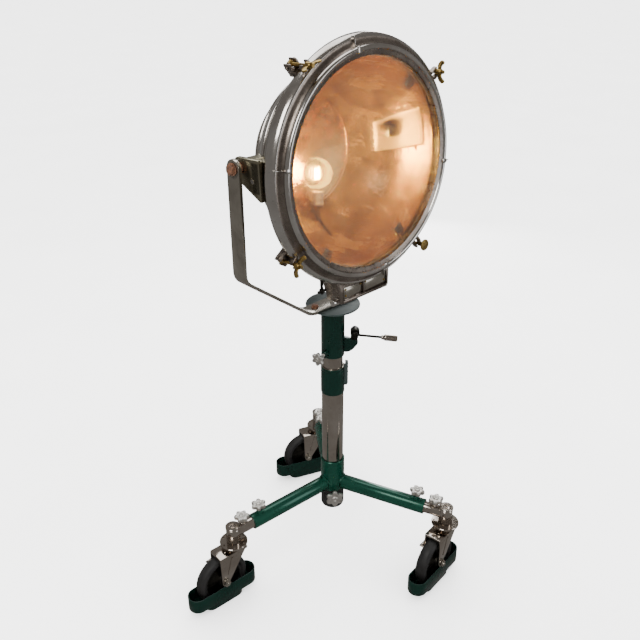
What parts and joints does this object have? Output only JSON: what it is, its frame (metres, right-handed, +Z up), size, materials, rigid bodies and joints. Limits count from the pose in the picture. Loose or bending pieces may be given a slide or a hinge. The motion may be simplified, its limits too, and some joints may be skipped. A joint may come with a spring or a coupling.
{
  "type": "searchlight on wheeled stand",
  "caption": "Round searchlight with clear front glass in a steel yoke, on a telescopic column with spreading legs, lockable casters and floor cups.",
  "frame": {"origin": "middle of the overall footprint, on the floor", "axes": "+Z up, the lamp shines along -Y with a slight upward tilt, the trunnion axis lies along X"},
  "size_m": [0.8426, 0.742, 1.5566],
  "materials": {
    "green_enamel": "deep green enamel, glossy, worn at edges",
    "chrome": "bright chrome plate, lightly aged",
    "polished_casting": "hand-polished aluminium with brown patina in the hollows",
    "grey_casting": "dull grey cast knob metal",
    "aged_nickel": "aged nickel plate on steel strap",
    "brass": "aged brass",
    "dark_iron": "dark oiled iron",
    "rusty_steel": "rust-brown steel bolts",
    "black_rubber": "black rubber, dusty",
    "reflector_metal": "polished reflector metal",
    "lens_clear": "clear plate glass",
    "bulb_clear": "clear blown glass",
    "ceramic": "glazed white ceramic",
    "filament_metal": "glowing filament grid and supports",
    "lead_cover": "cloth-covered wires",
    "table_grey": "grey-green painted steel"
  },
  "bodies": {
    "stand": {"base_spider": "green_enamel", "base_tube": "chrome", "base_end_cap": "black_rubber", "riser_collar": "green_enamel"},
    "base_knob": {"base_lock_knob": "grey_casting"},
    "riser": {"riser_tube": "chrome", "head_tube": "green_enamel", "lever_housing": "dark_iron"},
    "head_knob": {"head_lock_knob": "grey_casting"},
    "lever": {"clamp_lever": "dark_iron", "lever_grip": "chrome"},
    "left_table_screw": {"table_screw_left": "dark_iron"},
    "right_table_screw": {"table_screw_right": "dark_iron"},
    "turntable": {"table_disc": "table_grey", "yoke": "aged_nickel", "yoke_bolt_left": "rusty_steel", "yoke_bolt_right": "rusty_steel", "trunnion_bolt_left": "rusty_steel", "trunnion_bolt_right": "rusty_steel"},
    "lamp": {"drum_body": "polished_casting", "rear_cover": "polished_casting", "bezel_ring": "polished_casting", "lens_glass": "lens_clear", "reflector": "reflector_metal", "back_mirror": "reflector_metal", "lampholder": "ceramic", "bulb_glass": "bulb_clear", "filament": "filament_metal", "lamp_leads": "lead_cover", "lower_casting": "polished_casting"},
    "focus_knob": {"focus_screw": "dark_iron"},
    "rim_latch": {"rim_latch_knob": "brass"},
    "leg_1": {"leg_slider_1": "chrome"},
    "leg_knob_1": {"leg_lock_knob_1": "grey_casting"},
    "swivel_knob_1": {"swivel_lock_knob_1": "grey_casting"},
    "caster_1": {"caster_stem_1": "chrome", "caster_fork_1": "chrome"},
    "wheel_1": {"caster_wheel_1": "black_rubber"},
    "brake_1": {"brake_lever_1": "chrome"},
    "cup_1": {"floor_cup_1": "green_enamel"},
    "leg_2": {"leg_slider_2": "chrome"},
    "leg_knob_2": {"leg_lock_knob_2": "grey_casting"},
    "swivel_knob_2": {"swivel_lock_knob_2": "grey_casting"},
    "caster_2": {"caster_stem_2": "chrome", "caster_fork_2": "chrome"},
    "wheel_2": {"caster_wheel_2": "black_rubber"},
    "brake_2": {"brake_lever_2": "chrome"},
    "cup_2": {"floor_cup_2": "green_enamel"},
    "leg_3": {"leg_slider_3": "chrome"},
    "leg_knob_3": {"leg_lock_knob_3": "grey_casting"},
    "swivel_knob_3": {"swivel_lock_knob_3": "grey_casting"},
    "caster_3": {"caster_stem_3": "chrome", "caster_fork_3": "chrome"},
    "wheel_3": {"caster_wheel_3": "black_rubber"},
    "brake_3": {"brake_lever_3": "chrome"},
    "cup_3": {"floor_cup_3": "green_enamel"},
    "clamp_1": {"swing_clamp_1": "brass"},
    "clamp_2": {"swing_clamp_2": "brass"},
    "clamp_3": {"swing_clamp_3": "brass"},
    "clamp_4": {"swing_clamp_4": "brass"}
  },
  "joints": [
    {"name": "riser_height", "type": "slide", "parent": "stand", "child": "riser", "axis": [0, 0, 1], "range_m": [0, 0.28]},
    {"name": "lamp_pan", "type": "hinge", "parent": "riser", "child": "turntable", "pos_m": [0.0975, 0.00342, 0.847], "axis": [0, 0, 1], "continuous": true},
    {"name": "lamp_tilt", "type": "hinge", "parent": "turntable", "child": "lamp", "pos_m": [0.0975, 0.00342, 1.285], "axis": [1, 0, 0], "range_deg": [-60, 35]},
    {"name": "clamp_lever_turn", "type": "hinge", "parent": "riser", "child": "lever", "pos_m": [0.1421, -0.03965, 0.757], "axis": [0.6947, 0.7193, 0], "range_deg": [-50, 40]},
    {"name": "base_knob_turn", "type": "hinge", "parent": "stand", "child": "base_knob", "pos_m": [0.0975, 0.00342, 0.2075], "axis": [-0.5878, -0.809, 0], "range_deg": [0, 360]},
    {"name": "head_knob_turn", "type": "hinge", "parent": "riser", "child": "head_knob", "pos_m": [0.0975, 0.00342, 0.703], "axis": [-0.9781, -0.2079, 0], "range_deg": [0, 360]},
    {"name": "left_table_screw_turn", "type": "hinge", "parent": "riser", "child": "left_table_screw", "pos_m": [0.0975, 0.00342, 0.829], "axis": [-0.766, 0.6428, 0], "range_deg": [0, 360]},
    {"name": "right_table_screw_turn", "type": "hinge", "parent": "riser", "child": "right_table_screw", "pos_m": [0.0975, 0.00342, 0.829], "axis": [0.7193, -0.6947, 0], "range_deg": [0, 360]},
    {"name": "leg_slide_1", "type": "slide", "parent": "stand", "child": "leg_1", "axis": [0.587, 0.8079, -0.0523], "range_m": [0, 0.09]},
    {"name": "leg_knob_turn_1", "type": "hinge", "parent": "stand", "child": "leg_knob_1", "pos_m": [0.25481, 0.21994, 0.22897], "axis": [0.0308, 0.0423, 0.9986], "range_deg": [0, 360]},
    {"name": "swivel_knob_turn_1", "type": "hinge", "parent": "leg_1", "child": "swivel_knob_1", "pos_m": [0.2903, 0.26877, 0.22413], "axis": [0, 0, 1], "range_deg": [0, 360]},
    {"name": "caster_swivel_1", "type": "hinge", "parent": "leg_1", "child": "caster_1", "pos_m": [0.30911, 0.29466, 0.22413], "axis": [0, 0, 1], "continuous": true},
    {"name": "wheel_spin_1", "type": "hinge", "parent": "caster_1", "child": "wheel_1", "pos_m": [0.26243, 0.31258, 0.0835], "axis": [-0.3584, -0.9336, 0], "continuous": true},
    {"name": "brake_press_1", "type": "hinge", "parent": "caster_1", "child": "brake_1", "pos_m": [0.29043, 0.30183, 0.1425], "axis": [-0.3584, -0.9336, 0], "range_deg": [-25, 12]},
    {"name": "cup_drop_1", "type": "slide", "parent": "caster_1", "child": "cup_1", "axis": [0, 0, -1], "range_m": [0, 0.06]},
    {"name": "leg_slide_2", "type": "slide", "parent": "stand", "child": "leg_2", "axis": [-0.9932, 0.1044, -0.0523], "range_m": [0, 0.09]},
    {"name": "leg_knob_turn_2", "type": "hinge", "parent": "stand", "child": "leg_knob_2", "pos_m": [-0.16866, 0.03139, 0.22897], "axis": [-0.052, 0.0055, 0.9986], "range_deg": [0, 360]},
    {"name": "swivel_knob_turn_2", "type": "hinge", "parent": "leg_2", "child": "swivel_knob_2", "pos_m": [-0.2287, 0.0377, 0.22413], "axis": [0, 0, 1], "range_deg": [0, 360]},
    {"name": "caster_swivel_2", "type": "hinge", "parent": "leg_2", "child": "caster_2", "pos_m": [-0.26052, 0.04105, 0.22413], "axis": [0, 0, 1], "continuous": true},
    {"name": "wheel_spin_2", "type": "hinge", "parent": "caster_2", "child": "wheel_2", "pos_m": [-0.31046, 0.04366, 0.0835], "axis": [-0.0523, -0.9986, 0], "continuous": true},
    {"name": "brake_press_2", "type": "hinge", "parent": "caster_2", "child": "brake_2", "pos_m": [-0.2805, 0.04209, 0.1425], "axis": [-0.0523, -0.9986, 0], "range_deg": [-25, 12]},
    {"name": "cup_drop_2", "type": "slide", "parent": "caster_2", "child": "cup_2", "axis": [0, 0, -1], "range_m": [0, 0.06]},
    {"name": "leg_slide_3", "type": "slide", "parent": "stand", "child": "leg_3", "axis": [0.4062, -0.9123, -0.0523], "range_m": [0, 0.09]},
    {"name": "leg_knob_turn_3", "type": "hinge", "parent": "stand", "child": "leg_knob_3", "pos_m": [0.20636, -0.24108, 0.22897], "axis": [0.0213, -0.0478, 0.9986], "range_deg": [0, 360]},
    {"name": "swivel_knob_turn_3", "type": "hinge", "parent": "leg_3", "child": "swivel_knob_3", "pos_m": [0.23091, -0.29623, 0.22413], "axis": [0, 0, 1], "range_deg": [0, 360]},
    {"name": "caster_swivel_3", "type": "hinge", "parent": "leg_3", "child": "caster_3", "pos_m": [0.24393, -0.32546, 0.22413], "axis": [0, 0, 1], "continuous": true},
    {"name": "wheel_spin_3", "type": "hinge", "parent": "caster_3", "child": "wheel_3", "pos_m": [0.1943, -0.33155, 0.0835], "axis": [0.1219, -0.9925, 0], "continuous": true},
    {"name": "brake_press_3", "type": "hinge", "parent": "caster_3", "child": "brake_3", "pos_m": [0.22408, -0.3279, 0.1425], "axis": [0.1219, -0.9925, 0], "range_deg": [-25, 12]},
    {"name": "cup_drop_3", "type": "slide", "parent": "caster_3", "child": "cup_3", "axis": [0, 0, -1], "range_m": [0, 0.06]},
    {"name": "clamp_swing_1", "type": "hinge", "parent": "lamp", "child": "clamp_1", "pos_m": [-0.0863, -0.05375, 1.50317], "axis": [-0.8039, -0.0353, -0.5938], "range_deg": [0, 60]},
    {"name": "clamp_swing_2", "type": "hinge", "parent": "lamp", "child": "clamp_2", "pos_m": [0.3459, -0.05758, 1.43869], "axis": [-0.5948, 0.0477, 0.8024], "range_deg": [0, 60]},
    {"name": "clamp_swing_3", "type": "hinge", "parent": "lamp", "child": "clamp_3", "pos_m": [0.2813, -0.08321, 1.00726], "axis": [0.8039, 0.0353, 0.5938], "range_deg": [0, 60]},
    {"name": "clamp_swing_4", "type": "hinge", "parent": "lamp", "child": "clamp_4", "pos_m": [-0.15089, -0.07938, 1.07174], "axis": [0.5948, -0.0477, -0.8024], "range_deg": [0, 60]},
    {"name": "focus_screw_turn", "type": "hinge", "parent": "lamp", "child": "focus_knob", "pos_m": [-0.03723, -0.09449, 1.0029], "axis": [0, -0.0593, -0.9982], "range_deg": [0, 360]},
    {"name": "rim_latch_turn", "type": "hinge", "parent": "lamp", "child": "rim_latch", "pos_m": [0.3657, -0.06391, 1.33198], "axis": [0, 0.9982, -0.0593], "range_deg": [0, 360]}
  ]
}
